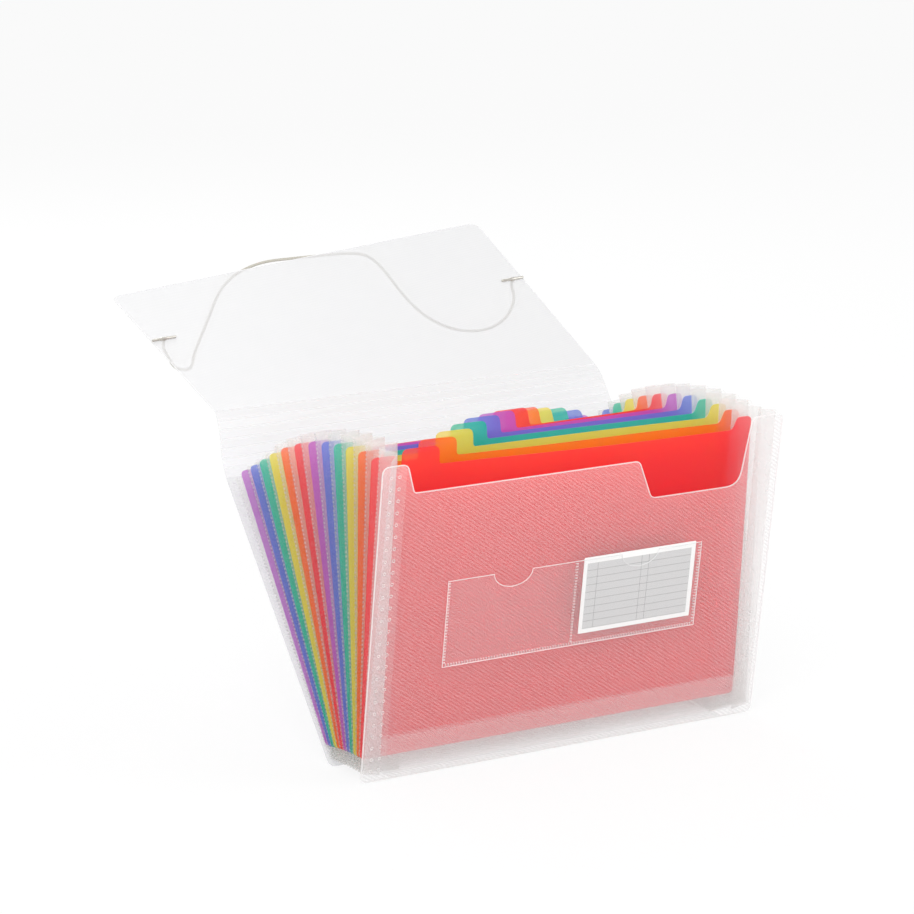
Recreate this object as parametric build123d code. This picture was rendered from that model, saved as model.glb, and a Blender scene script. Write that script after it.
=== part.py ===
"""Expanding accordion file: translucent plastic covers, coloured dividers, side gussets and an elastic closure.

The file stands on its base strip with the pockets fanned open and the flap thrown back.
X runs along the base, Y from front to back, Z up. Lengths are millimetres, angles degrees.
"""

from build123d import *
import os
from math import sin, cos, tan, radians

# Overall sizes of the cover
cover_width = 330.0
cover_height = 235.0
cover_thickness = 0.5
cover_corner_radius = 6.0
base_depth = 43.2
pocket_count = 13

# Fan: how far each outer leaf leans back from upright as the file stands open
front_lean_angle = -8.3
back_lean_angle = 38.2
leaf_bottom_lift = 0.5

# Base strip under the pockets
base_side_inset = 25.0
base_thickness = 0.8
base_ridge_height = 0.7
base_ridge_width = 1.2
base_end_gap = 0.6

# Front panel: two tall weld flanges with a stepped cut between them
left_flange_width = 20.0
right_flange_width = 27.0
flange_slope = 6.5
front_top_drop = 21.5
front_step_drop = 51.0
front_step_inset = 121.0
front_step_run = 13.0
front_curve_radius = 12.0
front_notch_radius = 3.0

# Card pocket welded to the front panel, and the card in it
pocket_film_width = 211.0
pocket_film_height = 65.0
pocket_film_thickness = 0.2
pocket_film_bottom = 79.5
pocket_film_shift = -1.2
pocket_weld_width = 2.5
pocket_room = 0.7
thumb_notch_width = 31.0
thumb_notch_depth = 10.0
thumb_notch_radius = 4.0
card_side_gap = 3.4
card_height = 58.0
card_thickness = 0.3
card_bottom_gap = 5.6
card_corner_radius = 1.0

# Dividers with ears at both sides and one staggered index tab each
divider_thickness = 0.4
divider_edge_inset = 1.0
divider_bottom = 26.0
divider_top_drop = 12.5
divider_corner_radius = 4.0
ear_width = 20.0
ear_height = 9.5
ear_radius = 4.0
tab_width = 30.0
tab_height = 13.0
tab_radius = 5.0
first_tab_inset = 39.0
last_tab_inset = 37.1

# Gussets: folded film that closes each pocket at the left, the bottom and the right
gusset_thickness = 0.25
gusset_clearance = 0.3
gusset_bottom = 6.0
gusset_top_rise = 3.0
gusset_weld_width = 7.0
gusset_depth = 20.0
gusset_edge_inset = 1.5
trough_fold_height = 2.2
trough_inner_fold_height = 5.6
trough_top = 32.0
trough_end_gap = 2.0

# Creased strips between the back panel and the flap
strip_pitch = 6.7
crease_gap = 0.7
strip_lean_angles = (40.0, 28.0, 18.0, 20.0, 25.0, 38.0, 55.0)

# Flap
flap_lean_angle = 68.3
flap_length = 192.0
flap_end_taper = 5.0
flap_corner_radius = 9.0

# Elastic cord and the metal bars at its ends
cord_diameter = 2.2
cord_hole_diameter = 3.4
cord_hole_inset = 13.0
cord_hole_reach = 114.0
bar_diameter = 2.2
bar_length = 20.0
bar_gap = 0.1
stub_diameter = 2.6
stub_reach = 1.3

# Route of the elastic cord on the flap: across, along the flap, and out from its outer face
cord_route = (
    (-152.0, 114.0, 1.3),
    (-152.0, 114.0, 5.4),
    (-152.6, 107.0, 7.2),
    (-155.0, 96.0, 6.6),
    (-157.6, 85.0, 5.8),
    (-157.0, 76.5, 5.2),
    (-150.5, 73.0, 4.8),
    (-144.0, 79.0, 4.6),
    (-136.5, 93.0, 4.4),
    (-121.0, 114.0, 4.6),
    (-101.0, 141.0, 5.0),
    (-83.0, 166.0, 5.2),
    (-68.0, 183.5, 5.2),
    (-50.0, 195.5, 5.0),
    (-27.0, 199.5, 4.6),
    (2.0, 199.0, 4.2),
    (29.0, 200.5, 4.2),
    (48.0, 198.0, 4.4),
    (59.5, 187.0, 4.8),
    (63.0, 167.0, 5.4),
    (62.0, 140.0, 6.2),
    (62.5, 113.0, 6.8),
    (68.5, 88.0, 7.0),
    (83.0, 71.5, 7.0),
    (104.0, 67.5, 7.0),
    (124.0, 75.0, 7.0),
    (140.0, 89.0, 7.0),
    (149.0, 102.0, 7.2),
    (152.0, 109.0, 7.0),
    (152.0, 114.0, 5.4),
    (152.0, 114.0, 1.3),
)
bend_run_share = 0.45

leaf_pitch = base_depth / pocket_count
lean_step = (back_lean_angle - front_lean_angle) / pocket_count
base_width = cover_width - 2 * base_side_inset
divider_width = cover_width - 2 * divider_edge_inset
divider_top = cover_height - divider_top_drop
tab_pitch = (divider_width - first_tab_inset - last_tab_inset) / (pocket_count - 2)
gusset_top = cover_height + gusset_top_rise
card_room = (pocket_film_width - 3 * pocket_weld_width) / 2
card_centre = pocket_film_shift + (card_room + pocket_weld_width) / 2
card_width = card_room - 2 * card_side_gap
cord_hole_x = cover_width / 2 - cord_hole_inset


def leaf_y(index):
    """Y of the hinge line of a leaf; whole numbers are sheets, halves are pocket middles."""
    return leaf_pitch * index - base_depth / 2


def leaf_lean(index):
    return front_lean_angle + lean_step * index


def tilted_plane(y, z, lean):
    """Plane of a sheet that leans back: local X across, local Y up the sheet, local Z to its front."""
    return Plane(origin=(0, y, z), x_dir=(1, 0, 0), z_dir=(0, -cos(radians(lean)), sin(radians(lean))))


def leaf_plane(index):
    return tilted_plane(leaf_y(index), 0, leaf_lean(index))


def rounded(points, radii):
    """Closed outline through points, each corner rounded by its own radius (0 keeps it sharp)."""
    outline = make_face(Polyline(*points, close=True))
    for point, radius in zip(points, radii):
        if radius > 0:
            corner = outline.vertices().sort_by_distance((point[0], point[1], 0))[0]
            outline = fillet(corner, radius)
    return outline


def sheet(plane, outline, thickness):
    return extrude(plane * outline, thickness / 2, both=True)


def write(solid, name):
    solid.label = name
    export_step(solid, os.path.join("parts", name + ".step"))


def base_strip():
    """Strip along the bottom with a low ridge under each divider."""
    half_depth = base_depth / 2 - base_end_gap
    strip = Box(base_width, 2 * half_depth, base_thickness, align=(Align.CENTER, Align.CENTER, Align.MIN))
    for index in range(1, pocket_count):
        section = Polyline(
            (leaf_y(index) - base_ridge_width / 2, base_thickness),
            (leaf_y(index), base_thickness + base_ridge_height),
            (leaf_y(index) + base_ridge_width / 2, base_thickness),
            close=True,
        )
        ridge_plane = Plane(origin=(-base_width / 2, 0, 0), x_dir=(0, 1, 0), z_dir=(1, 0, 0))
        strip += extrude(ridge_plane * make_face(section), base_width)
    return strip


def front_panel():
    half = cover_width / 2
    cut = cover_height - front_top_drop
    step = cover_height - front_step_drop
    left_top = -half + left_flange_width
    right_top = half - right_flange_width
    step_start = half - front_step_inset
    step_end = step_start + front_step_run
    corner = cover_corner_radius
    points = (
        (-half, leaf_bottom_lift),
        (half, leaf_bottom_lift),
        (half, cover_height),
        (right_top, cover_height),
        (right_top - flange_slope, step),
        (step_end, step),
        (step_start, cut),
        (left_top + flange_slope, cut),
        (left_top, cover_height),
        (-half, cover_height),
    )
    radii = (corner, corner, corner, corner, front_curve_radius, corner, corner, front_notch_radius, corner, corner)
    return sheet(leaf_plane(0), rounded(points, radii), cover_thickness)


def thumb_notch(centre):
    """Cut for the thumb in the top edge of one card pocket."""
    top = pocket_film_bottom + pocket_film_height
    half = thumb_notch_width / 2
    points = (
        (centre - half, top - thumb_notch_depth),
        (centre + half, top - thumb_notch_depth),
        (centre + half, top + thumb_notch_depth),
        (centre - half, top + thumb_notch_depth),
    )
    return rounded(points, (thumb_notch_radius, thumb_notch_radius, 0, 0))


def card_pocket():
    """Film with weld beads at the left, middle, right and bottom that hold it off the panel."""
    plane = leaf_plane(0)
    face = cover_thickness / 2
    front = face + pocket_room
    middle = pocket_film_bottom + pocket_film_height / 2
    film_outline = Pos(pocket_film_shift, middle) * Rectangle(pocket_film_width, pocket_film_height)
    for side in (-1, 1):
        film_outline -= thumb_notch(pocket_film_shift + side * pocket_film_width / 4)
    film = extrude(plane * Pos(0, 0, front) * film_outline, pocket_film_thickness)
    bead_x = (pocket_film_width - pocket_weld_width) / 2
    beads = Pos(pocket_film_shift, pocket_film_bottom + pocket_weld_width / 2) * Rectangle(
        pocket_film_width, pocket_weld_width
    )
    for x in (-bead_x, 0, bead_x):
        beads += Pos(pocket_film_shift + x, middle) * Rectangle(pocket_weld_width, pocket_film_height)
    return film + extrude(plane * Pos(0, 0, face) * beads, pocket_room)


def index_card():
    plane = leaf_plane(0)
    bottom = pocket_film_bottom + pocket_weld_width + card_bottom_gap
    lift = cover_thickness / 2 + (pocket_room - card_thickness) / 2
    outline = Pos(card_centre, bottom + card_height / 2) * RectangleRounded(card_width, card_height, card_corner_radius)
    return extrude(plane * Pos(0, 0, lift) * outline, card_thickness)


def divider(index):
    half = divider_width / 2
    ear = half - ear_width
    body_points = ((-half, divider_bottom), (half, divider_bottom), (half, divider_top), (-half, divider_top))
    outline = rounded(body_points, (divider_corner_radius, divider_corner_radius, 0, 0))
    root = divider_top - ear_height
    for side in (-1, 1):
        ear_points = (
            (side * ear, root),
            (side * half, root),
            (side * half, divider_top + ear_height),
            (side * ear, divider_top + ear_height),
        )
        outline += rounded(ear_points, (0, 0, ear_radius, ear_radius))
    centre = first_tab_inset - half + tab_pitch * (index - 1)
    tab_points = (
        (centre - tab_width / 2, root),
        (centre + tab_width / 2, root),
        (centre + tab_width / 2, divider_top + tab_height),
        (centre - tab_width / 2, divider_top + tab_height),
    )
    outline += rounded(tab_points, (0, 0, tab_radius, tab_radius))
    return sheet(leaf_plane(index), outline, divider_thickness)


def leaf_half_thickness(index):
    outer = index in (0, pocket_count)
    return (cover_thickness if outer else divider_thickness) / 2


def pocket_reach(index, reach):
    """Room in a pocket at a height up its middle plane, to the front sheet and to the back sheet."""
    slope = tan(radians(lean_step / 2))
    middle_lean = radians(leaf_lean(index - 0.5))
    shift = leaf_pitch / 2 * sin(middle_lean)
    foot = leaf_pitch / 2 * cos(middle_lean)
    gap = gusset_clearance
    front = foot + (reach + shift) * slope - leaf_half_thickness(index - 1) - gap
    back = foot + (reach - shift) * slope - leaf_half_thickness(index) - gap
    return front, back


def side_gusset(index, side):
    """Film folded inwards between two sheets, flat against both along their side edges."""
    plane = leaf_plane(index - 0.5)
    outer = cover_width / 2 - gusset_edge_inset
    weld = outer - gusset_weld_width
    fold = outer - gusset_depth
    film = gusset_thickness
    faces = []
    for reach in (gusset_bottom, gusset_top):
        front, back = pocket_reach(index, reach)
        points = (
            (side * outer, front),
            (side * weld, front),
            (side * fold, 0),
            (side * weld, -back),
            (side * outer, -back),
            (side * outer, film - back),
            (side * weld, film - back),
            (side * (fold + 2 * film), 0),
            (side * weld, front - film),
            (side * outer, front - film),
        )
        corners = [plane.from_local_coords((x, reach, z)) for x, z in points]
        faces.append(make_face(Polyline(*corners, close=True)))
    return loft(faces, ruled=True)


def trough(index):
    """Film folded down between two sheets, which closes the pocket at the bottom."""
    fold_x = cover_width / 2 - gusset_edge_inset - gusset_depth
    length = 2 * (fold_x - trough_end_gap)
    front_top, back_top = pocket_reach(index, trough_top)
    front_low, back_low = pocket_reach(index, divider_bottom)
    film = gusset_thickness
    points = (
        (front_top, trough_top),
        (front_low, divider_bottom),
        (0, trough_fold_height),
        (-back_low, divider_bottom),
        (-back_top, trough_top),
        (film - back_top, trough_top),
        (film - back_low, divider_bottom),
        (0, trough_inner_fold_height),
        (front_low - film, divider_bottom),
        (front_top - film, trough_top),
    )
    plane = leaf_plane(index - 0.5)
    corners = [plane.from_local_coords((-length / 2, reach, z)) for z, reach in points]
    return extrude(make_face(Polyline(*corners, close=True)), length, dir=(1, 0, 0))


def gusset(index):
    return Compound(children=[side_gusset(index, -1), side_gusset(index, 1), trough(index)])


def back_panel():
    half = cover_width / 2
    top = cover_height - crease_gap / 2
    points = ((-half, leaf_bottom_lift), (half, leaf_bottom_lift), (half, top), (-half, top))
    outline = rounded(points, (cover_corner_radius, cover_corner_radius, 0, 0))
    return sheet(leaf_plane(pocket_count), outline, cover_thickness)


def crease_lines():
    """Y and Z of each crease, from the top of the back panel to the root of the flap."""
    y = leaf_y(pocket_count) + cover_height * sin(radians(back_lean_angle))
    z = cover_height * cos(radians(back_lean_angle))
    lines = [(y, z)]
    for lean in strip_lean_angles:
        y += strip_pitch * sin(radians(lean))
        z += strip_pitch * cos(radians(lean))
        lines.append((y, z))
    return lines


def crease_strip(line, lean):
    outline = Pos(0, strip_pitch / 2) * Rectangle(cover_width, strip_pitch - crease_gap)
    return sheet(tilted_plane(line[0], line[1], lean), outline, cover_thickness)


def flap(plane):
    half = cover_width / 2
    end = half - flap_end_taper
    points = ((-half, crease_gap / 2), (half, crease_gap / 2), (end, flap_length), (-end, flap_length))
    outline = rounded(points, (0, 0, flap_corner_radius, flap_corner_radius))
    for side in (-1, 1):
        outline -= Pos(side * cord_hole_x, cord_hole_reach) * Circle(cord_hole_diameter / 2)
    return sheet(plane, outline, cover_thickness)


def cord_end(plane, side):
    """Metal bar on the inner face of the flap, with a crimped stub through the hole."""
    bar_lift = cover_thickness / 2 + bar_gap + bar_diameter / 2
    hole = plane * Pos(side * cord_hole_x, cord_hole_reach)
    bar = hole * Pos(0, 0, bar_lift) * Rot(0, 90, 0) * Cylinder(bar_diameter / 2, bar_length)
    bar = chamfer(bar.edges().filter_by(GeomType.CIRCLE), bar_diameter / 8)
    stub_length = stub_reach + bar_lift
    stub = hole * Pos(0, 0, (bar_lift - stub_reach) / 2) * Cylinder(stub_diameter / 2, stub_length)
    return bar + stub


def elastic_cord(plane):
    """Round elastic from hole to hole: straight runs joined by the largest arcs that fit."""
    points = [plane.from_local_coords((x, reach, -out)) for x, reach, out in cord_route]
    radii = []
    for before, here, after in zip(points, points[1:], points[2:]):
        turn = radians((here - before).get_angle(after - here))
        shorter = min((here - before).length, (after - here).length)
        radii.append(bend_run_share * shorter / tan(turn / 2))
    print("cord radii", [round(radius, 1) for radius in radii])
    path = FilletPolyline(*points, radius=radii)
    section = Plane(origin=points[0], z_dir=points[1] - points[0]) * Circle(cord_diameter / 2)
    tube = sweep(section, path=path)
    filled = tube.volume / (section.area * path.length)
    print("cord length", round(path.length, 1), "volume over section times length", round(filled, 4))
    return tube


def main():
    os.makedirs("parts", exist_ok=True)
    write(base_strip(), "base_strip")
    write(front_panel(), "front_panel")
    write(card_pocket(), "card_pocket")
    write(index_card(), "index_card")
    for index in range(1, pocket_count):
        write(divider(index), f"divider_{index:02d}")
    for index in range(1, pocket_count + 1):
        write(gusset(index), f"gusset_{index:02d}")
    write(back_panel(), "back_panel")
    lines = crease_lines()
    for number, (line, lean) in enumerate(zip(lines, strip_lean_angles), 1):
        write(crease_strip(line, lean), f"crease_strip_{number}")
    flap_plane = tilted_plane(lines[-1][0], lines[-1][1], flap_lean_angle)
    write(flap(flap_plane), "flap")
    write(elastic_cord(flap_plane), "elastic_cord")
    write(cord_end(flap_plane, -1), "cord_end_left")
    write(cord_end(flap_plane, 1), "cord_end_right")


main()
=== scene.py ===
"""Looks of the accordion file: covers, dividers, pleated film, card pocket, creases, flap, elastic."""

from math import atan2, cos, pi, radians, sin

import bmesh
import bpy
from mathutils import Matrix, Vector
from mathutils.geometry import delaunay_2d_cdt


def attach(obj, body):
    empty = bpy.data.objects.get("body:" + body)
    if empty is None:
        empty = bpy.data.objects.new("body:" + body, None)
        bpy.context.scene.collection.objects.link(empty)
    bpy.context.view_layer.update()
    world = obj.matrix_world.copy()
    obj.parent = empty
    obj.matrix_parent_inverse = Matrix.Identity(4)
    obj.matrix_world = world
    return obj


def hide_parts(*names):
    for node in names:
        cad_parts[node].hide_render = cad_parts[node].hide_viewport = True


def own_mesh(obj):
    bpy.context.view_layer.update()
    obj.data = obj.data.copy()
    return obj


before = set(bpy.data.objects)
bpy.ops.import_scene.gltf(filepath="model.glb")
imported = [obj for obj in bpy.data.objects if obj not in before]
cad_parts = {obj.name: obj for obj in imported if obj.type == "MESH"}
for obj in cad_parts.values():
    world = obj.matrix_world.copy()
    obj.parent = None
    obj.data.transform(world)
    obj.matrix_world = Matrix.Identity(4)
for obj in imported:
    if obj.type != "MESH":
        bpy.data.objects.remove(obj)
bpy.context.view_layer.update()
scene = bpy.context.scene

# Sizes in mm
MM = 0.001
HALF = 165.0
POCKETS = 13
HEIGHT = 235.0
BASE_DEPTH = 43.2
FOOT = 0.5
COVER_THICKNESS, DIVIDER_THICKNESS, CARD_THICKNESS, FILM_THICKNESS = 0.5, 0.4, 0.3, 0.2
COLOURS = ("red", "orange", "yellow", "green", "blue", "purple")

# Where each leaf stands: Y of its fold on the base, and its lean at the left and the right edge
FRONT_LEAN, LEAN_SPREAD = -8.3, 46.5


def leaf_y(i):
    return BASE_DEPTH * (i / POCKETS - 0.5)


def mean_lean(i):
    return FRONT_LEAN + LEAN_SPREAD * i / POCKETS


def leaf_leans(i):
    """Lean at the left and the right edge, in degrees. The fan is uneven and its leaves twist a little."""
    wave = -(0.6 if i < POCKETS / 2 else 1.7) * sin(2 * pi * i / POCKETS)
    turn = 2.7 if i == POCKETS else 0.9 * (i / POCKETS) ** 2
    return mean_lean(i) + wave + turn, mean_lean(i) + wave - turn


def leaf_surface(i):
    """Point of a leaf at x across, r up the sheet and out towards the front, in mm."""
    left, right = leaf_leans(i)
    inner = 0 < i < POCKETS
    # The dividers stand unevenly: roll tips the top edge, rise lifts it, and the sheet waves
    roll = min(0.78 * i - 4.5, 1.5 * (POCKETS - i)) if inner else 0.0
    rise = 3.0 * sin(pi * i / POCKETS) if inner else 0.0
    wave_height, wave_length, wave_shift = 1.3, 250, 1.1 * i

    def at(x, r, out=0.0):
        a = x / HALF
        lean = radians(left + (right - left) * (a + 1) / 2)
        reach = r * (1 + (roll * a + rise) / HEIGHT)
        if inner:
            out = out + wave_height * (r / HEIGHT) ** 2 * sin(2 * pi * x / wave_length + wave_shift)
        y = leaf_y(i) + reach * sin(lean) - out * cos(lean)
        z = reach * cos(lean) + out * sin(lean)
        return Vector((x, y, z)) * MM

    return at


def leaf_axis(i):
    lean = radians(mean_lean(i))
    return (0, -cos(lean), sin(lean)), (0, leaf_y(i) * MM, 0)


# The sheet above the back panel: creased strips that end on the straight root of the flap, then the flap
STRIP_PITCH = 6.7
STRIP_COUNT = 7
FLAP_LENGTH = 192.0
FLAP_LEAN = radians(68.3)
FLAP_TWIST = 18.0
ROOT_Y, ROOT_Z = 191.19, 223.59


def edge_line(lean, bulge):
    """Creases along one side edge, from the back panel's top to the flap's root, as y, z and lean."""
    y0, z0 = leaf_y(POCKETS) + HEIGHT * sin(radians(lean)), HEIGHT * cos(radians(lean))
    span = Vector((ROOT_Y - y0, ROOT_Z - z0))
    side = Vector((-span.y, span.x)).normalized()
    points = []
    for k in range(STRIP_COUNT + 1):
        t = k / STRIP_COUNT
        points.append(Vector((y0, z0)) + span * t + side * bulge * sin(2 * pi * t))
    line = []
    for k, p in enumerate(points):
        step = points[min(k + 1, STRIP_COUNT)] - points[min(k, STRIP_COUNT - 1)]
        line.append((p.x, p.y, atan2(step.x, step.y)))
    return line


CREASE_BULGE = -1.5
LEFT_LINE, RIGHT_LINE = (edge_line(lean, CREASE_BULGE) for lean in leaf_leans(POCKETS))


def strip_surface(k):
    """Strip k, 1 to 7, from crease k to crease k + 1."""
    ends = [(line[k - 1], line[k]) for line in (LEFT_LINE, RIGHT_LINE)]

    def at(x, s, out=0.0):
        a = (x / HALF + 1) / 2
        t = s / STRIP_PITCH
        sides = [(p[0] + (q[0] - p[0]) * t, p[1] + (q[1] - p[1]) * t) for p, q in ends]
        lean = ends[0][0][2] + (ends[1][0][2] - ends[0][0][2]) * a
        y = sides[0][0] + (sides[1][0] - sides[0][0]) * a - out * cos(lean)
        z = sides[0][1] + (sides[1][1] - sides[0][1]) * a + out * sin(lean)
        return Vector((x, y, z)) * MM

    return at


def flap_at(x, s, out=0.0):
    """Point of the twisted flap; out is towards its inner face."""
    lift = FLAP_TWIST * (x / HALF) * (s / FLAP_LENGTH) + out
    y = ROOT_Y + s * sin(FLAP_LEAN) - lift * cos(FLAP_LEAN)
    z = ROOT_Z + s * cos(FLAP_LEAN) + lift * sin(FLAP_LEAN)
    return Vector((x, y, z)) * MM


# Meshes


def rounded(points, radii, steps=6):
    """Outline through points with each corner rounded by its own radius."""
    out = []
    n = len(points)
    for k, (p, radius) in enumerate(zip(points, radii)):
        p = Vector(p)
        if radius <= 0:
            out.append(p)
            continue
        before, after = Vector(points[k - 1]) - p, Vector(points[(k + 1) % n]) - p
        angle = before.angle(after)
        slope = max(1e-6, abs(sin(angle / 2) / cos(angle / 2)))
        cut = min(radius / slope, before.length * 0.49, after.length * 0.49)
        a, b = p + before.normalized() * cut, p + after.normalized() * cut
        for j in range(steps + 1):
            t = j / steps
            out.append(a * (1 - t) ** 2 + p * 2 * t * (1 - t) + b * t ** 2)
    return out


def dense(outline, step):
    """The same outline with points no further apart than step, so that a sheet can bend."""
    out = []
    for p, q in zip(outline, outline[1:] + outline[:1]):
        count = max(1, int((q - p).length / step + 0.999))
        out += [p + (q - p) * (j / count) for j in range(count)]
    return out


def corners_of(left, right, low, high):
    """Corners of an upright rectangle, anticlockwise from the lower left."""
    return (left, low), (right, low), (right, high), (left, high)


def circle(x, y, radius, count=14):
    turns = [2 * pi * j / count for j in range(count)]
    return [Vector((x + radius * cos(a), y + radius * sin(a))) for a in turns]


def inside(p, loop):
    hit = False
    for a, b in zip(loop, loop[1:] + loop[:1]):
        if (a.y > p.y) != (b.y > p.y) and p.x < (b.x - a.x) * (p.y - a.y) / (b.y - a.y) + a.x:
            hit = not hit
    return hit


def near(p, loop, limit):
    return any((p - q).length < limit for q in loop)


def finish_mesh(name, bm, material, angle=40):
    mesh = bpy.data.meshes.new(name)
    bmesh.ops.recalc_face_normals(bm, faces=bm.faces)
    bm.to_mesh(mesh)
    bm.free()
    for face in mesh.polygons:
        face.use_smooth = True
    mesh.set_sharp_from_angle(angle=radians(angle))
    mesh.materials.append(material)
    obj = bpy.data.objects.new(name, mesh)
    scene.collection.objects.link(obj)
    return obj


def sheet_bmesh(surface, outline, thickness, holes=(), step=12.0, lift=0.0):
    """A sheet cut to an outline, with thickness, laid on a surface. Its map is x and height in metres."""
    loops = [dense(outline, step)] + [list(h) for h in holes]
    points, edges = [], []
    for loop in loops:
        start = len(points)
        points += loop
        edges += [(start + j, start + (j + 1) % len(loop)) for j in range(len(loop))]
    rim = list(points)
    xs, ys = [p.x for p in loops[0]], [p.y for p in loops[0]]
    nx, ny = int((max(xs) - min(xs)) / step), int((max(ys) - min(ys)) / step)
    for i in range(1, nx):
        for j in range(1, ny):
            p = Vector((min(xs) + (max(xs) - min(xs)) * i / nx, min(ys) + (max(ys) - min(ys)) * j / ny))
            if inside(p, loops[0]) and not near(p, rim, step * 0.45):
                if not any(inside(p, loop) for loop in loops[1:]):
                    points.append(p)
    verts, _, faces, *_ = delaunay_2d_cdt(points, edges, [], 2, 1e-4)
    bm = bmesh.new()
    layer = bm.loops.layers.uv.new("sheet")
    tops = [bm.verts.new(surface(v.x, v.y, lift + thickness / 2)) for v in verts]
    lows = [bm.verts.new(surface(v.x, v.y, lift - thickness / 2)) for v in verts]
    flat = {}
    for v, t, b in zip(verts, tops, lows):
        flat[t] = flat[b] = (v.x * MM, v.y * MM)
    count = {}
    for f in faces:
        bm.faces.new([tops[k] for k in f])
        bm.faces.new([lows[k] for k in reversed(f)])
        for a, b in zip(f, f[1:] + f[:1]):
            count[(min(a, b), max(a, b))] = count.get((min(a, b), max(a, b)), []) + [(a, b)]
    for runs in count.values():
        if len(runs) == 1:
            a, b = runs[0]
            bm.faces.new([tops[b], tops[a], lows[a], lows[b]])
    for face in bm.faces:
        for loop in face.loops:
            loop[layer].uv = flat[loop.vert]
    return bm


def bead(bm, surface, outline, width, height, lift=0.0, step=12.0, slot=1):
    """The pale cut edge of a sheet: a low rim of its own along an outline that runs anticlockwise."""
    layer = bm.loops.layers.uv.get("sheet")
    loop = dense(outline, step)
    rings = []
    for before, p, after in zip(loop[-1:] + loop[:-1], loop, loop[1:] + loop[:1]):
        way = ((p - before).normalized() + (after - p).normalized()).normalized()
        inner = p + Vector((-way.y, way.x)) * width
        section = ((p, -height), (p, height), (inner, height), (inner, -height))
        spots = [(bm.verts.new(surface(q.x, q.y, lift + h)), (q.x * MM, q.y * MM)) for q, h in section]
        rings.append(spots)
    for a, b in zip(rings, rings[1:] + rings[:1]):
        for j in range(4):
            corners = [a[j], b[j], b[(j + 1) % 4], a[(j + 1) % 4]]
            face = bm.faces.new([vert for vert, _ in corners])
            face.material_index = slot
            for corner, (_, flat) in zip(face.loops, corners):
                corner[layer].uv = flat


def grid_shell(bm, rows, thickness, uvs):
    """A thin film through a grid of points, with real thickness."""
    layer = bm.loops.layers.uv.get("sheet") or bm.loops.layers.uv.new("sheet")
    high, wide = len(rows), len(rows[0])
    normals = []
    for i in range(high):
        line = []
        for j in range(wide):
            a = rows[min(i + 1, high - 1)][j] - rows[max(i - 1, 0)][j]
            b = rows[i][min(j + 1, wide - 1)] - rows[i][max(j - 1, 0)]
            line.append(a.cross(b).normalized())
        normals.append(line)
    sides = []
    for shift in (0.5, -0.5):
        sides.append([
            [bm.verts.new(p + n * thickness * shift * MM) for p, n in zip(points, line)]
            for points, line in zip(rows, normals)
        ])
    flat = {}
    for side in sides:
        for verts, places in zip(side, uvs):
            flat.update(zip(verts, places))
    made = []
    for i in range(high - 1):
        for j in range(wide - 1):
            for side, flip in ((sides[0], False), (sides[1], True)):
                quad = [side[i][j], side[i + 1][j], side[i + 1][j + 1], side[i][j + 1]]
                made.append(bm.faces.new(quad[::-1] if flip else quad))
    rim = [(i, 0) for i in range(high)] + [(high - 1, j) for j in range(1, wide)]
    rim += [(i, wide - 1) for i in range(high - 2, -1, -1)] + [(0, j) for j in range(wide - 2, 0, -1)]
    for (i, j), (k, m) in zip(rim, rim[1:] + rim[:1]):
        made.append(bm.faces.new([sides[0][i][j], sides[1][i][j], sides[1][k][m], sides[0][k][m]]))
    for face in made:
        for loop in face.loops:
            loop[layer].uv = flat[loop.vert]
    return bm


def ring_of(bm, centre, u, v, radius, count):
    """New vertices in a ring round a centre, in the plane of two unit vectors."""
    turns = [2 * pi * j / count for j in range(count)]
    return [bm.verts.new(centre + (u * cos(a) + v * sin(a)) * radius) for a in turns]


def bridge(bm, rings):
    """Faces between each ring of vertices and the next."""
    made = []
    for a, b in zip(rings, rings[1:]):
        for j in range(len(a)):
            after = (j + 1) % len(a)
            made.append(bm.faces.new([a[j], a[after], b[after], b[j]]))
    return made


# Materials


class Mat:
    """A material under construction."""

    def __init__(self, name):
        self.material = bpy.data.materials.new(name)
        self.material.use_nodes = True
        self.tree = self.material.node_tree
        self.tree.nodes.clear()

    def node(self, kind, **given):
        n = self.tree.nodes.new("ShaderNode" + kind)
        for key, value in given.items():
            if key in n.inputs:
                self.put(n.inputs[key], value)
            else:
                setattr(n, key, value)
        return n

    def put(self, socket, value):
        if isinstance(value, bpy.types.NodeSocket):
            self.tree.links.new(value, socket)
        elif isinstance(value, bpy.types.Node):
            self.tree.links.new(value.outputs[0], socket)
        else:
            socket.default_value = value

    def math(self, operation, a, b=0.0, clamp=False):
        n = self.tree.nodes.new("ShaderNodeMath")
        n.operation = operation
        n.use_clamp = clamp
        self.put(n.inputs[0], a)
        self.put(n.inputs[1], b)
        return n.outputs[0]

    def mix(self, factor, a, b):
        n = self.tree.nodes.new("ShaderNodeMixShader")
        self.put(n.inputs[0], factor)
        self.tree.links.new(a.outputs[0], n.inputs[1])
        self.tree.links.new(b.outputs[0], n.inputs[2])
        return n

    def blend(self, factor, a, b):
        n = self.tree.nodes.new("ShaderNodeMix")
        n.data_type = "RGBA"
        self.put(n.inputs["Factor"], factor)
        for socket, value in zip([s for s in n.inputs if s.type == "RGBA"], (a, b)):
            self.put(socket, value if not isinstance(value, tuple) else (*value, 1))
        return [s for s in n.outputs if s.type == "RGBA"][0]

    def within(self, value, low, high):
        """1 where a value lies between two limits, 0 elsewhere."""
        above, below = self.math("GREATER_THAN", value, low), self.math("LESS_THAN", value, high)
        return self.math("MULTIPLY", above, below)

    def done(self, shader):
        out = self.tree.nodes.new("ShaderNodeOutputMaterial")
        self.tree.links.new(shader.outputs[0], out.inputs[0])
        return self.material

    def sheet_xy(self):
        uv = self.node("UVMap", uv_map="sheet")
        split = self.node("SeparateXYZ", Vector=uv.outputs[0])
        return uv, split.outputs[0], split.outputs[1]


def linear(r, g, b):
    return tuple((c / 255 / 12.92) if c <= 10 else ((c / 255 + 0.055) / 1.055) ** 2.4 for c in (r, g, b))


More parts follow.
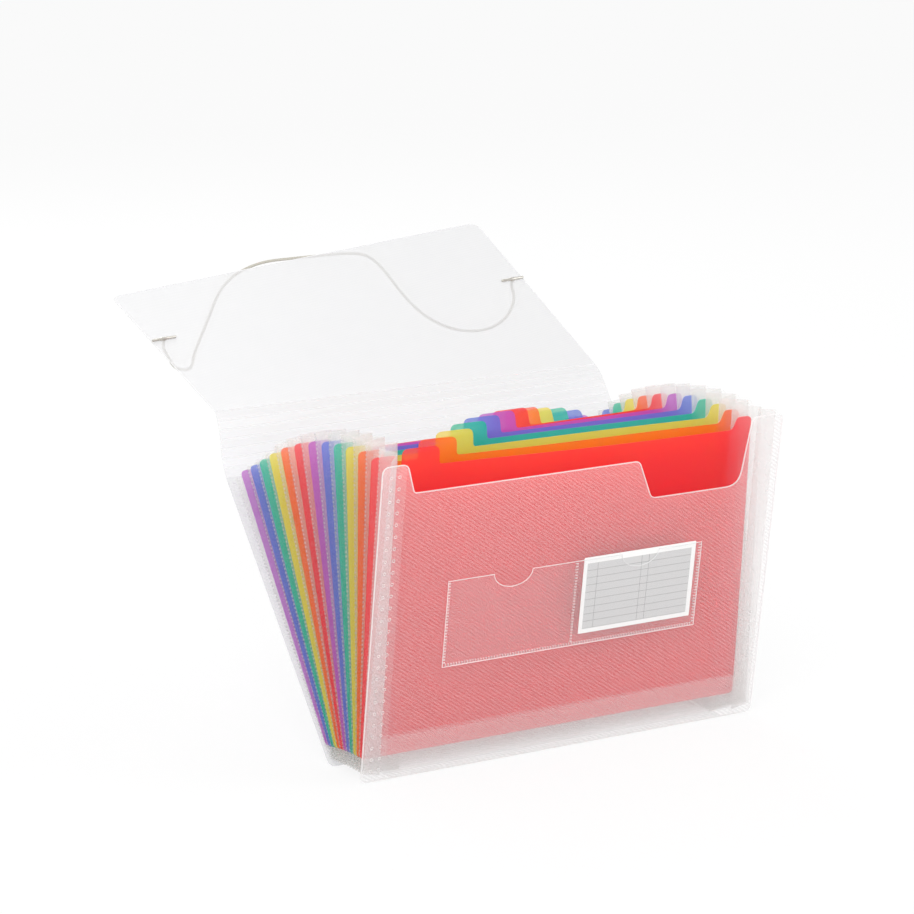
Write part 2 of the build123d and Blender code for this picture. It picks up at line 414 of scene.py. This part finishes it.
HATCH_SLANT, HATCH_PITCH = (0.57, 0.82), 0.0024


def film(
    name, colour, cover, through, rough=0.38, hatch=0.0, dots=(), seams=(), lines=(), spec=0.4, cloud=0.06
):
    """Translucent sheet: cover is how much one face hides of what is behind it, and through is the share
    lit from behind. dots, seams and lines change the cover along welds across and along the sheet."""
    m = Mat(name)
    uv, x, y = m.sheet_xy()
    noise = m.node("TexNoise", Vector=uv.outputs[0], Scale=22.0, Detail=3.0)
    clouds = m.math("MULTIPLY_ADD", noise.outputs[0], cloud)
    clouds.node.inputs[2].default_value = 1.0 - cloud / 2
    base = m.blend(m.math("SUBTRACT", 1.0, clouds, True), colour, tuple(c * 0.86 for c in colour))
    amount = m.math("MULTIPLY", clouds, cover)
    slant = m.math("ADD", m.math("MULTIPLY", x, HATCH_SLANT[0]), m.math("MULTIPLY", y, HATCH_SLANT[1]))
    fine = m.math("SINE", m.math("MULTIPLY", slant, 2 * pi / HATCH_PITCH))
    if hatch:
        amount = m.math("ADD", amount, m.math("MULTIPLY", fine, hatch))
    wide = m.math("ABSOLUTE", x)
    for across, pitch, radius, extra in dots:
        du = m.math("SUBTRACT", wide, across * MM)
        turn = m.math("FRACT", m.math("DIVIDE", y, pitch * MM))
        dv = m.math("MULTIPLY", m.math("SUBTRACT", turn, 0.5), pitch * MM)
        gap = m.math("SQRT", m.math("ADD", m.math("MULTIPLY", du, du), m.math("MULTIPLY", dv, dv)))
        amount = m.math("ADD", amount, m.math("MULTIPLY", m.math("LESS_THAN", gap, radius * MM), extra))
    for along, bands in ((wide, seams), (y, lines)):
        for low, high, extra in bands:
            band = m.within(along, low * MM, high * MM)
            amount = m.math("ADD", amount, m.math("MULTIPLY", band, extra))
    amount = m.math("MINIMUM", m.math("MAXIMUM", amount, 0.02), 0.98)
    surface = m.node("BsdfPrincipled", Roughness=rough)
    surface.inputs["Specular IOR Level"].default_value = spec
    m.put(surface.inputs["Base Color"], base)
    glow = m.node("BsdfTranslucent")
    m.put(glow.inputs["Color"], base)
    bump = m.node("Bump", Strength=0.08, Distance=0.0001)
    m.put(bump.inputs["Height"], fine if hatch else noise.outputs[0])
    m.put(surface.inputs["Normal"], bump.outputs[0])
    body = m.mix(through, surface, glow)
    clear = m.node("BsdfTransparent")
    return m.done(m.mix(amount, clear, body))


WHITE = linear(251, 251, 252)
COVER = film("frosted_cover", WHITE, 0.46, 0.5, hatch=0.012)
CREASE = film("frosted_crease", WHITE, 0.46, 0.5, lines=((-1.0, 0.75, -0.2), (5.95, 9.0, -0.2)))
FRONT = film("frosted_front", linear(242, 238, 239), 0.16, 0.15, hatch=0.035, seams=((145.5, 170.0, 0.05),))
BACK = film("frosted_back", linear(238, 238, 241), 0.3, 0.5, hatch=0.012, dots=((159.5, 9.0, 1.2, 0.2),))
PLEAT = film(
    "gusset_film", linear(238, 237, 235), 0.28, 0.3, rough=0.45,
    dots=((157.4, 3.0, 0.9, 0.08),), seams=((157.2, 170.0, -0.24),),
)
TROUGH = film("gusset_trough", linear(252, 251, 250), 0.08, 0.25, rough=0.45)
POCKET = film("pocket_film", linear(250, 250, 251), 0.06, 0.4, rough=0.2, spec=0.5)
WELD = film("weld_bead", linear(253, 252, 252), 0.45, 0.3, rough=0.4)
EDGE = film("sheet_edge", linear(253, 253, 253), 0.6, 0.4, rough=0.4)
PAINT = {
    "red": (252, 40, 62),
    "orange": (255, 104, 16),
    "yellow": (244, 232, 60),
    "green": (0, 206, 172),
    "blue": (100, 130, 230),
    "purple": (206, 100, 212),
}
DIVIDER = {
    c: film("divider_" + c, linear(*PAINT[c]), 0.52, 0.25, rough=0.33, cloud=0.08, spec=0.35)
    for c in COLOURS
}


def card_material():
    """White card with a grey panel of ruled lines."""
    m = Mat("card")
    uv, x, y = m.sheet_xy()
    left, right, low, high = 7.6 * MM, 96.0 * MM, 91.0 * MM, 141.0 * MM
    rows, rule_share, rule_half = 9, 0.055, 0.16 * MM
    panel = m.math("MULTIPLY", m.within(x, left, right), m.within(y, low, high))
    height = m.math("FRACT", m.math("DIVIDE", m.math("SUBTRACT", y, low), (high - low) / rows))
    ink = m.math("LESS_THAN", height, rule_share)
    for share in (0.1, 0.52, 0.59):
        gap = m.math("ABSOLUTE", m.math("SUBTRACT", x, left + share * (right - left)))
        ink = m.math("MAXIMUM", ink, m.math("LESS_THAN", gap, rule_half))
    ink = m.math("MULTIPLY", ink, panel)
    fibre = m.node("TexNoise", Vector=uv.outputs[0], Scale=900.0, Detail=2.0)
    grey = m.blend(panel, linear(236, 236, 235), linear(198, 198, 198))
    inked = m.blend(ink, grey, linear(138, 138, 140))
    tint = m.blend(m.math("MULTIPLY", fibre.outputs[0], 0.08), inked, linear(235, 235, 235))
    bump = m.node("Bump", Strength=0.15, Distance=0.0001)
    m.put(bump.inputs["Height"], fibre.outputs[0])
    surface = m.node("BsdfPrincipled", Roughness=0.75)
    m.put(surface.inputs["Base Color"], tint)
    m.put(surface.inputs["Normal"], bump.outputs[0])
    return m.done(surface)


def elastic_material():
    m = Mat("elastic")
    place = m.node("TexCoord")
    weave = m.node("TexWave", Vector=place.outputs["Object"], Scale=900.0, Distortion=1.0)
    bump = m.node("Bump", Strength=0.35, Distance=0.0002)
    m.put(bump.inputs["Height"], weave.outputs[1])
    surface = m.node("BsdfPrincipled", Roughness=0.7)
    tint = m.blend(weave.outputs[1], linear(176, 172, 160), linear(206, 203, 192))
    m.put(surface.inputs["Base Color"], tint)
    m.put(surface.inputs["Normal"], bump.outputs[0])
    return m.done(surface)


def metal_material():
    m = Mat("bar_metal")
    place = m.node("TexCoord")
    noise = m.node("TexNoise", Vector=place.outputs["Object"], Scale=500.0, Detail=4.0)
    surface = m.node("BsdfPrincipled", Metallic=1.0)
    tint = m.blend(noise.outputs[0], linear(186, 182, 174), linear(224, 221, 214))
    m.put(surface.inputs["Base Color"], tint)
    rough = m.math("MULTIPLY_ADD", noise.outputs[0], 0.2)
    rough.node.inputs[2].default_value = 0.22
    m.put(surface.inputs["Roughness"], rough)
    return m.done(surface)


CARD = card_material()
ELASTIC = elastic_material()
METAL = metal_material()


def place(obj, body, node, slot, axis=None, anchor=None, keep=0.1):
    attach(obj, body)
    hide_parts(node)
    if axis is not None:
        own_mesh(obj)
    return obj


# Front panel with its weld rings, card pocket and card

front_at = leaf_surface(0)
cut, low_cut = HEIGHT - 21.5, HEIGHT - 51.0
front_outline = rounded(
    (
        (-HALF, FOOT), (HALF, FOOT), (HALF, HEIGHT), (HALF - 27, HEIGHT), (HALF - 33.5, low_cut),
        (57, low_cut), (44, cut), (-HALF + 26.5, cut), (-HALF + 20, HEIGHT), (-HALF, HEIGHT),
    ),
    (6, 6, 6, 6, 12, 6, 6, 3, 6, 6),
)
bm = sheet_bmesh(front_at, front_outline, COVER_THICKNESS, step=20.0)

# A weld ring: its sides, radius and pitch, and its section as distance in from the rim and height
RING_SIDES, RING_RADIUS, RING_PITCH = 10, 1.4, 8.7
RING_SECTION = ((0.0, 0.0), (0.25, 0.22), (0.55, 0.22), (0.8, 0.0))


def paint(bm, faces, slot, x, y):
    """Gives faces a material slot and one place on the sheet's map."""
    layer = bm.loops.layers.uv.get("sheet")
    for face in faces:
        face.material_index = slot
        for loop in face.loops:
            loop[layer].uv = (x * MM, y * MM)


def ring(bm, surface, x, y):
    """A small raised weld ring on a sheet."""
    turns = [2 * pi * j / RING_SIDES for j in range(RING_SIDES)]
    loops = []
    for inset, height in RING_SECTION:
        band = RING_RADIUS - inset
        spots = [(x + band * cos(a), y + band * sin(a)) for a in turns]
        loops.append([bm.verts.new(surface(*spot, COVER_THICKNESS / 2 + height)) for spot in spots])
    paint(bm, bridge(bm, loops), 1, x, y)


for column in (-157.8, -151.3):
    for k in range(26):
        ring(bm, front_at, column, 9.0 + RING_PITCH * k)
bead(bm, front_at, front_outline, 0.7, 0.32, slot=2)
front = finish_mesh("front_panel_sheet", bm, FRONT)
front.data.materials.append(WELD)
front.data.materials.append(EDGE)
place(front, "front", "front_panel", "frosted_cover")

pocket_bottom, pocket_top, pocket_left, pocket_right = 79.5, 144.5, -106.7, 104.3
pocket_mid = (pocket_left + pocket_right) / 2
POCKET_LIFT, CARD_LIFT = 1.05, 0.6


def notch(centre, half=15.5, depth=11.0, steps=12):
    """Round thumb notch in the pocket's top edge, from right to left."""
    turns = [pi * j / steps for j in range(steps + 1)]
    return [Vector((centre + half * cos(a), pocket_top - depth * sin(a))) for a in turns]


pocket_corners = [Vector(p) for p in corners_of(pocket_left, pocket_right, pocket_bottom, pocket_top)]
pocket_outline = pocket_corners[:3] + notch((pocket_mid + pocket_right) / 2)
pocket_outline += notch((pocket_left + pocket_mid) / 2) + pocket_corners[3:]
bm = sheet_bmesh(front_at, pocket_outline, FILM_THICKNESS, step=16.0, lift=POCKET_LIFT)
bead(bm, front_at, pocket_outline, 0.6, 0.16, lift=POCKET_LIFT, slot=2)

# Weld bars of the pocket's seams: pitch, distance from the edge, half length, half width, foot and top
STITCH_PITCH, SEAM_INSET, STITCH_LONG, STITCH_SHORT = 2.2, 1.4, 1.1, 0.45
STITCH_FOOT, STITCH_TOP, STITCH_TAPER = 0.26, 1.28, 0.8


def stitch(bm, x, y, dx, dy):
    """One short raised weld bar across a seam of the card pocket."""
    corners = [(a * dx, b * dy) for a, b in corners_of(-1, 1, -1, 1)]
    low = [bm.verts.new(front_at(x + u, y + v, STITCH_FOOT)) for u, v in corners]
    top = [
        bm.verts.new(front_at(x + u * STITCH_TAPER, y + v * STITCH_TAPER, STITCH_TOP)) for u, v in corners
    ]
    paint(bm, [bm.faces.new(top)] + bridge(bm, [low, top]), 1, x, y)


for k in range(28):
    for column in (pocket_left + SEAM_INSET, pocket_mid, pocket_right - SEAM_INSET):
        stitch(bm, column, pocket_bottom + 3.4 + STITCH_PITCH * k, STITCH_LONG, STITCH_SHORT)
for k in range(94):
    stitch(bm, pocket_left + 3.0 + STITCH_PITCH * k, pocket_bottom + SEAM_INSET, STITCH_SHORT, STITCH_LONG)
pocket = finish_mesh("card_pocket_film", bm, POCKET)
pocket.data.materials.append(WELD)
pocket.data.materials.append(EDGE)
place(pocket, "front", "card_pocket", "pocket_film")

card_outline = rounded(corners_of(4.55, 99.45, 87.6, 145.6), (1, 1, 1, 1), 4)
bm = sheet_bmesh(front_at, card_outline, CARD_THICKNESS, step=16.0, lift=CARD_LIFT)
card = finish_mesh("index_card_sheet", bm, CARD)
place(card, "card", "index_card", "card")

# Dividers, each with two ears and a tab. The last tab meets the right ear

left_edge, right_edge, low, top = -164.0, 150.0, 17.0, 222.5
left_ear, right_ear = left_edge + 20, 134.0
ear_top, tab_top, tab_half = top + 9.5, top + 13, 15
FIRST_TAB, TAB_STEP = -125.0, 22.9
for i in range(1, POCKETS):
    colour = COLOURS[(i - 1) % len(COLOURS)]
    tab = FIRST_TAB + TAB_STEP * (i - 1)
    points = [(left_edge, low), (right_edge, low), (right_edge, ear_top), (right_ear + 4, ear_top)]
    radii = [4, 4, 4, 4]
    if tab + tab_half > right_ear - 4:
        points += [(right_ear + 2, ear_top - 0.1), (right_ear - 2, tab_top)]
        radii += [0, 5]
    else:
        points += [(right_ear, top), (tab + tab_half, top), (tab + tab_half, tab_top)]
        radii += [6, 2.5, 5]
    points += [(tab - tab_half, tab_top), (tab - tab_half, top)]
    points += [(left_ear, top), (left_ear, ear_top), (left_edge, ear_top)]
    radii += [5, 2.5, 2, 4, 4]
    bm = sheet_bmesh(leaf_surface(i), rounded(points, radii, 5), DIVIDER_THICKNESS, step=20.0)
    obj = finish_mesh(f"divider_{i:02d}_sheet", bm, DIVIDER[colour])
    axis, anchor = leaf_axis(i)
    place(obj, f"leaf_{i:02d}", f"divider_{i:02d}", "divider_" + colour, axis, anchor)

# Pleated film: one V fold at each side and one trough at the bottom of each pocket.
# Points across a fold: x on the film's own map, and the share of the way from the front leaf to the
# back leaf. Points across a trough: height and the same share. The film's top drops at the welds

PLEAT_OUTER, PLEAT_WELD, PLEAT_FOLD = 163.6, 157.0, 143.5
PLEAT_POINTS = (
    (163.6, 0.0), (160.3, 0.0), (157.0, 0.0), (152.0, 0.17), (147.0, 0.36), (143.5, 0.5),
    (147.0, 0.64), (152.0, 0.83), (157.0, 1.0), (160.3, 1.0), (163.6, 1.0),
)
PLEAT_DROP = {163.6: 6.0, 160.3: 1.6, 157.0: 0.4}
TROUGH_POINTS = (
    (32.0, 0.0), (26.0, 0.0), (16.0, 0.2), (8.0, 0.38), (4.6, 0.5),
    (8.0, 0.62), (16.0, 0.8), (26.0, 1.0), (32.0, 1.0),
)
TROUGH_HALF = 150.0
FILM_STEPS = 24
FILM_GAP = 0.42


def pleat_x(k, flat, r):
    """Where a point of the map lies across the file: the weld runs out to the edge at the bottom, and the
    fold runs in. The first pocket's fold is hidden by the front panel's flange."""
    weld = PLEAT_OUTER - 0.6 - 5.0 * r / HEIGHT
    fold = 149.0 if k == 1 else 131.0 + 7.5 * r / HEIGHT
    if flat >= PLEAT_WELD:
        return weld + (PLEAT_OUTER - weld) * (flat - PLEAT_WELD) / (PLEAT_OUTER - PLEAT_WELD)
    return fold + (weld - fold) * (flat - PLEAT_FOLD) / (PLEAT_WELD - PLEAT_FOLD)


def between(k, x, r, share):
    """A point in pocket k, share 0 at the back of the front leaf and 1 at the front of the back leaf."""
    a = leaf_surface(k - 1)(x, r, -FILM_GAP)
    b = leaf_surface(k)(x, r, FILM_GAP)
    return a + (b - a) * share


for k in range(1, POCKETS + 1):
    bm = bmesh.new()
    film_top = min(238.5, 233.5 + 1.2 * (POCKETS - k))
    for side in (-1, 1):
        rows, uvs = [], []
        for n in range(FILM_STEPS + 1):
            line, flat = [], []
            for across, share in PLEAT_POINTS:
                lower = 7.0 - 3.0 * (1 - abs(2 * share - 1))
                r = lower + (film_top - PLEAT_DROP.get(across, 0.0) - lower) * n / FILM_STEPS
                line.append(between(k, side * pleat_x(k, across, r), r, share))
                flat.append((side * across * MM, r * MM))
            rows.append(line)
            uvs.append(flat)
        grid_shell(bm, rows, FILM_THICKNESS, uvs)
    rows, uvs = [], []
    for n in range(FILM_STEPS + 1):
        x = -TROUGH_HALF + 2 * TROUGH_HALF * n / FILM_STEPS
        rows.append([between(k, x, r, share) for r, share in TROUGH_POINTS])
        uvs.append([(x * MM, r * MM) for r, _ in TROUGH_POINTS])
    before = set(bm.faces)
    grid_shell(bm, rows, FILM_THICKNESS, uvs)
    for face in bm.faces:
        if face not in before:
            face.material_index = 1
    obj = finish_mesh(f"gusset_{k:02d}_film", bm, PLEAT, 60)
    obj.data.materials.append(TROUGH)
    axis, anchor = leaf_axis(k)
    body = "back" if k == POCKETS else f"leaf_{k:02d}"
    place(obj, body, f"gusset_{k:02d}", "gusset_film", axis, anchor)

# Back panel, creased strips and flap

back_outline = rounded(corners_of(-HALF, HALF, FOOT, HEIGHT - 0.2), (6, 6, 0, 0))
axis, anchor = leaf_axis(POCKETS)
bm = sheet_bmesh(leaf_surface(POCKETS), back_outline, COVER_THICKNESS, step=20.0)
back = finish_mesh("back_panel_sheet", bm, BACK)
place(back, "back", "back_panel", "frosted_cover", axis, anchor)

# A strip's section along the sheet, as distance and height, and the leans of the part's own flat strips
STRIP_SECTION = (
    (0.12, -0.14), (0.5, 0.05), (1.3, 0.0), (3.35, 0.0), (5.4, 0.0), (6.2, 0.05), (6.58, -0.14),
)
STRIP_THICKNESS, STRIP_STEPS = 0.46, 22
CAD_STRIPS = (40.0, 28.0, 18.0, 20.0, 25.0, 38.0, 55.0)
LOWER_STRIPS = 3
back_lean = radians(mean_lean(POCKETS))
cad_y, cad_z = leaf_y(POCKETS) + HEIGHT * sin(back_lean), HEIGHT * cos(back_lean)
for k, degrees in enumerate(CAD_STRIPS, 1):
    lean = radians(degrees)
    rows, uvs = [], []
    for n in range(STRIP_STEPS + 1):
        x = -HALF + 2 * HALF * n / STRIP_STEPS
        rows.append([strip_surface(k)(x, s, out) for s, out in STRIP_SECTION])
        uvs.append([(x * MM, s * MM) for s, _ in STRIP_SECTION])
    bm = grid_shell(bmesh.new(), rows, STRIP_THICKNESS, uvs)
    obj = finish_mesh(f"crease_strip_{k}_sheet", bm, CREASE, 50)
    axis, anchor = (0, -cos(lean), sin(lean)), (0, cad_y * MM, cad_z * MM)
    body = "spine_lower" if k <= LOWER_STRIPS else "spine_upper"
    place(obj, body, f"crease_strip_{k}", "frosted_cover", axis, anchor)
    cad_y += STRIP_PITCH * sin(lean)
    cad_z += STRIP_PITCH * cos(lean)

FLAP_AXIS = (0, -cos(FLAP_LEAN), sin(FLAP_LEAN))
FLAP_ANCHOR = (0, ROOT_Y * MM, ROOT_Z * MM)
HOLE_X, HOLE_S, HOLE_RADIUS = 152.0, 114.0, 1.7
flap_corners = ((-HALF, FOOT), (HALF, FOOT), (HALF - 5, FLAP_LENGTH), (-HALF + 5, FLAP_LENGTH))
flap_outline = rounded(flap_corners, (0, 0, 9, 9))
holes = [circle(side * HOLE_X, HOLE_S, HOLE_RADIUS) for side in (-1, 1)]
bm = sheet_bmesh(flap_at, flap_outline, COVER_THICKNESS, holes, step=16.0)
bead(bm, flap_at, flap_outline, 0.6, 0.26)
flap = finish_mesh("flap_sheet", bm, COVER)
flap.data.materials.append(EDGE)
place(flap, "flap", "flap", "frosted_cover", FLAP_AXIS, FLAP_ANCHOR)

# Elastic cord and its metal ends. The route is across, along the flap, and out from its outer face. Its
# points are the part's own, but six at the flap's far edge are moved, to show above it in the part's box

CORD_ROUTE = (
    (-152.0, 114.0, 1.3), (-152.0, 114.0, 5.4), (-152.6, 107.0, 7.2), (-155.0, 96.0, 6.6),
    (-157.6, 85.0, 5.8), (-157.0, 76.5, 5.2), (-150.5, 73.0, 4.8), (-144.0, 79.0, 4.6),
    (-136.5, 93.0, 4.4), (-121.0, 114.0, 4.6), (-101.0, 141.0, 5.0), (-83.0, 166.0, 5.2),
    (-68.0, 183.5, 5.2), (-50.0, 195.5, 3.6), (-27.0, 199.9, 1.3), (2.0, 199.9, 4.5),
    (29.0, 199.9, 7.6), (48.0, 198.0, 8.8), (59.5, 187.0, 5.4), (63.0, 167.0, 5.4),
    (62.0, 140.0, 6.2), (62.5, 113.0, 6.8), (68.5, 88.0, 7.0), (83.0, 71.5, 7.0),
    (104.0, 67.5, 7.0), (124.0, 75.0, 7.0), (140.0, 89.0, 7.0), (149.0, 102.0, 7.2),
    (152.0, 109.0, 7.0), (152.0, 114.0, 5.4), (152.0, 114.0, 1.3),
)
route = [flap_at(x, s, -out) for x, s, out in CORD_ROUTE]
line = bpy.data.curves.new("elastic_line", "CURVE")
line.dimensions = "3D"
line.resolution_u = 8
spline = line.splines.new("NURBS")
spline.points.add(len(route) - 1)
for point, at in zip(spline.points, route):
    point.co = (*at, 1)
spline.order_u = 3
spline.use_endpoint_u = True
path_obj = bpy.data.objects.new("elastic_line", line)
scene.collection.objects.link(path_obj)
bpy.context.view_layer.update()
path_mesh = bpy.data.meshes.new_from_object(path_obj)
path = [v.co.copy() for v in path_mesh.vertices]
bpy.data.objects.remove(path_obj)


def tube(name, path, radius, material, sides=10):
    """A round tube along a path."""
    bm = bmesh.new()
    rings = []
    side = None
    for n, p in enumerate(path):
        ahead = (path[min(n + 1, len(path) - 1)] - path[max(n - 1, 0)]).normalized()
        side = ahead.orthogonal() if side is None else side - ahead * side.dot(ahead)
        side.normalize()
        rings.append(ring_of(bm, p, side, ahead.cross(side), radius, sides))
    bridge(bm, rings)
    bm.faces.new(rings[0][::-1])
    bm.faces.new(rings[-1])
    return finish_mesh(name, bm, material, 50)


cord = tube("elastic_cord_tube", path, 1.1 * MM, ELASTIC)
place(cord, "flap", "elastic_cord", "elastic", FLAP_AXIS, FLAP_ANCHOR)

# A metal end: a bar across the hole, as place along it and radius, and a stub through the hole, as height
# above the flap's middle and radius
BAR_SIDES, BAR_LIFT = 14, 1.45
BAR_PROFILE = (
    (-10.0, 0.35), (-9.8, 0.8), (-9.2, 1.1), (-3.0, 1.1), (-2.4, 1.3),
    (2.4, 1.3), (3.0, 1.1), (9.2, 1.1), (9.8, 0.8), (10.0, 0.35),
)
STUB_PROFILE = ((BAR_LIFT, 1.3), (-1.1, 1.3), (-1.3, 1.15))
for side, name in ((-1, "left"), (1, "right")):
    x, s = side * HOLE_X, HOLE_S
    across = (flap_at(x + 1, s) - flap_at(x - 1, s)).normalized()
    up = (flap_at(x, s, 1.0) - flap_at(x, s)).normalized()
    along = across.cross(up)
    bm = bmesh.new()
    bar = []
    for shift, radius in BAR_PROFILE:
        centre = flap_at(x, s, BAR_LIFT) + across * shift * MM
        bar.append(ring_of(bm, centre, up, along, radius * MM, BAR_SIDES))
    bridge(bm, bar)
    bm.faces.new(bar[0][::-1])
    bm.faces.new(bar[-1])
    stub = []
    for height, radius in STUB_PROFILE:
        centre = flap_at(x, s) + up * height * MM
        stub.append(ring_of(bm, centre, across, along, radius * MM, BAR_SIDES))
    bridge(bm, stub)
    bm.faces.new(stub[0])
    bm.faces.new(stub[-1])
    obj = finish_mesh(f"cord_end_{name}_bar", bm, METAL)
    place(obj, "flap", f"cord_end_{name}", "bar_metal", FLAP_AXIS, FLAP_ANCHOR)

base_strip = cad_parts["base_strip"]
base_strip.data.materials.clear()
base_strip.data.materials.append(TROUGH)

# Floor, light and camera. The floor glows for what sees it, so that it is white, and keeps the shadow

FLOOR_REACH, FLOOR_DROP, FLOOR_GLOW = 6.0, 0.0004, 0.85
floor_mesh = bpy.data.meshes.new("floor")
floor_corners = corners_of(-FLOOR_REACH, FLOOR_REACH, -FLOOR_REACH, FLOOR_REACH)
floor_mesh.from_pydata([(x, y, 0) for x, y in floor_corners], [], [(0, 1, 2, 3)])
floor = bpy.data.objects.new("floor", floor_mesh)
floor.location.z = -FLOOR_DROP
scene.collection.objects.link(floor)
m = Mat("floor")
rays = m.node("LightPath").outputs
through_gloss = m.math("MAXIMUM", rays["Is Glossy Ray"], rays["Is Transmission Ray"])
seen = m.math("MAXIMUM", rays["Is Camera Ray"], through_gloss)
matt = m.node("BsdfDiffuse")
matt.inputs["Color"].default_value = (0.86, 0.86, 0.86, 1)
glow = m.node("Emission", Strength=1.0)
floor_mesh.materials.append(m.done(m.mix(m.math("MULTIPLY", seen, FLOOR_GLOW), matt, glow)))

# The world is white to the camera and lights the file softly
world = bpy.data.worlds.new("studio")
scene.world = world
world.use_nodes = True
tree = world.node_tree
tree.nodes.clear()
out = tree.nodes.new("ShaderNodeOutputWorld")
light_path = tree.nodes.new("ShaderNodeLightPath")
soft, plain = tree.nodes.new("ShaderNodeBackground"), tree.nodes.new("ShaderNodeBackground")
soft.inputs["Strength"].default_value = 1.0
plain.inputs["Color"].default_value = (1, 1, 1, 1)
plain.inputs["Strength"].default_value = 1.0
switch = tree.nodes.new("ShaderNodeMixShader")
tree.links.new(light_path.outputs["Is Camera Ray"], switch.inputs[0])
tree.links.new(soft.outputs[0], switch.inputs[1])
tree.links.new(plain.outputs[0], switch.inputs[2])
tree.links.new(switch.outputs[0], out.inputs[0])


def lamp(name, location, target, size, power):
    data = bpy.data.lights.new(name, "AREA")
    data.shape = "DISK"
    data.size = size
    data.energy = power
    obj = bpy.data.objects.new(name, data)
    obj.location = location
    obj.rotation_mode = "QUATERNION"
    obj.rotation_quaternion = (Vector(target) - Vector(location)).to_track_quat("-Z", "Y")
    scene.collection.objects.link(obj)


lamp("key", location=(-1.3, -1.4, 1.9), target=(0, 0.1, 0.12), size=1.4, power=27)
lamp("fill", location=(1.7, -1.2, 1.2), target=(0, 0.1, 0.12), size=1.6, power=13)
lamp("rear", location=(0.3, 2.0, 1.5), target=(0, 0.15, 0.15), size=1.6, power=14)

# The camera was fitted to the front panel's corners in the photograph
camera_data = bpy.data.cameras.new("camera")
camera_data.sensor_width = 36.0
camera_data.lens = 137.86
camera_data.clip_start, camera_data.clip_end = 0.1, 50
camera = bpy.data.objects.new("camera", camera_data)
right = Vector((0.85888, -0.51218, 0))
up = Vector((0.11773, 0.19742, 0.97322))
ahead = Vector((0.49847, 0.83588, -0.22986))
turn = Matrix((right, up, -ahead)).transposed().to_4x4()
camera.matrix_world = Matrix.Translation((-1.28795, -2.03567, 0.77746)) @ turn
scene.collection.objects.link(camera)
scene.camera = camera

scene.view_settings.view_transform = "Standard"
scene.cycles.max_bounces = 10
scene.cycles.diffuse_bounces = 5
scene.cycles.transmission_bounces = 8
scene.cycles.transparent_max_bounces = 96
scene.cycles.use_denoising = True
